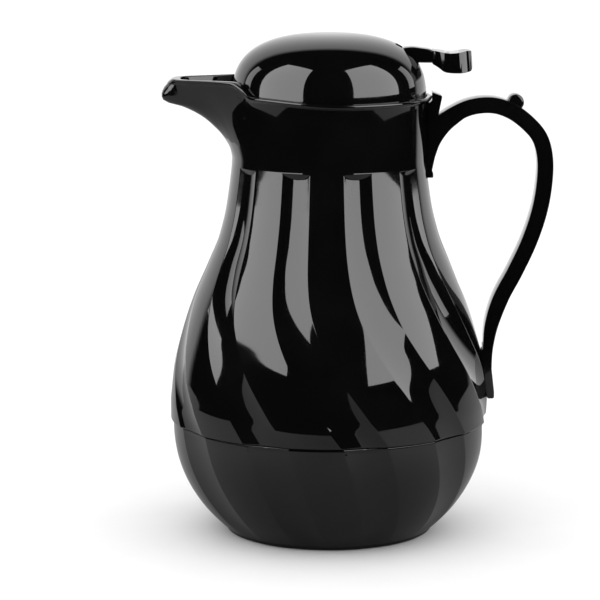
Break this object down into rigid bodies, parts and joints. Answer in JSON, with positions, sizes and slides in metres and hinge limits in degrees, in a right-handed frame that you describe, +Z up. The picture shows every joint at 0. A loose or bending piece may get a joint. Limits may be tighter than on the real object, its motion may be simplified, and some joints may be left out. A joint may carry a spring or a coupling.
{
  "type": "insulated beverage server",
  "caption": "Pour-through insulated server with a swirl-fluted body, beak spout, looped handle, base cup and domed lift-off lid with a sprung thumb-lever valve.",
  "frame": {"origin": "centre of the foot pad's flat underside, on the body's axis", "axes": "+Z up along the body's axis, -X towards the spout, +X towards the handle and the thumb lever"},
  "size_m": [0.2317, 0.1894, 0.2985],
  "materials": {
    "gloss_black": "polished black moulded plastic",
    "liner_plastic": "satin food-grade plastic",
    "foam": "rigid insulating foam",
    "black_rubber": "matt rubber",
    "silicone": "satin silicone",
    "steel": "bright stainless"
  },
  "bodies": {
    "pot": {"outer_shell": "gloss_black", "base_cup": "gloss_black", "handle": "gloss_black", "inner_liner": "liner_plastic", "foam_jacket": "foam", "neck_seal": "black_rubber", "foot_pad": "black_rubber", "fill_plug": "liner_plastic", "handle_screw_upper": "steel", "handle_screw_lower": "steel"},
    "lid_seat": {"lid_gasket": "silicone"},
    "lid": {"lid_dome": "gloss_black", "lid_base": "liner_plastic", "lid_screw_1": "steel", "lid_screw_2": "steel", "lid_screw_3": "steel", "lever_pin": "steel", "valve_spring": "steel"},
    "lever": {"lever": "gloss_black"},
    "valve": {"valve_stem": "liner_plastic", "stem_button": "liner_plastic", "valve_plug": "liner_plastic", "valve_seal": "silicone", "stem_clip": "steel"}
  },
  "joints": [
    {"name": "lid_lift", "type": "slide", "parent": "pot", "child": "lid_seat", "axis": [0, 0, 1], "range_m": [0, 0.065]},
    {"name": "lid_turn", "type": "hinge", "parent": "lid_seat", "child": "lid", "pos_m": [0, 0, 0.262], "axis": [0, 0, 1], "range_deg": [0, 45]},
    {"name": "lever_press", "type": "hinge", "parent": "lid", "child": "lever", "pos_m": [-0.044, 0, 0.278], "axis": [0, 1, 0], "range_deg": [0, 5.2], "stiffness_Nm_per_rad": 1.5, "springref_deg": -5.16},
    {"name": "valve_slide", "type": "slide", "parent": "lid", "child": "valve", "axis": [0, 0, -1], "range_m": [0, 0.0042], "deforming": ["valve_spring"]}
  ],
  "couplings": [
    {"joint": "valve_slide", "follows": "lever_press", "m_per_rad": 0.044}
  ]
}
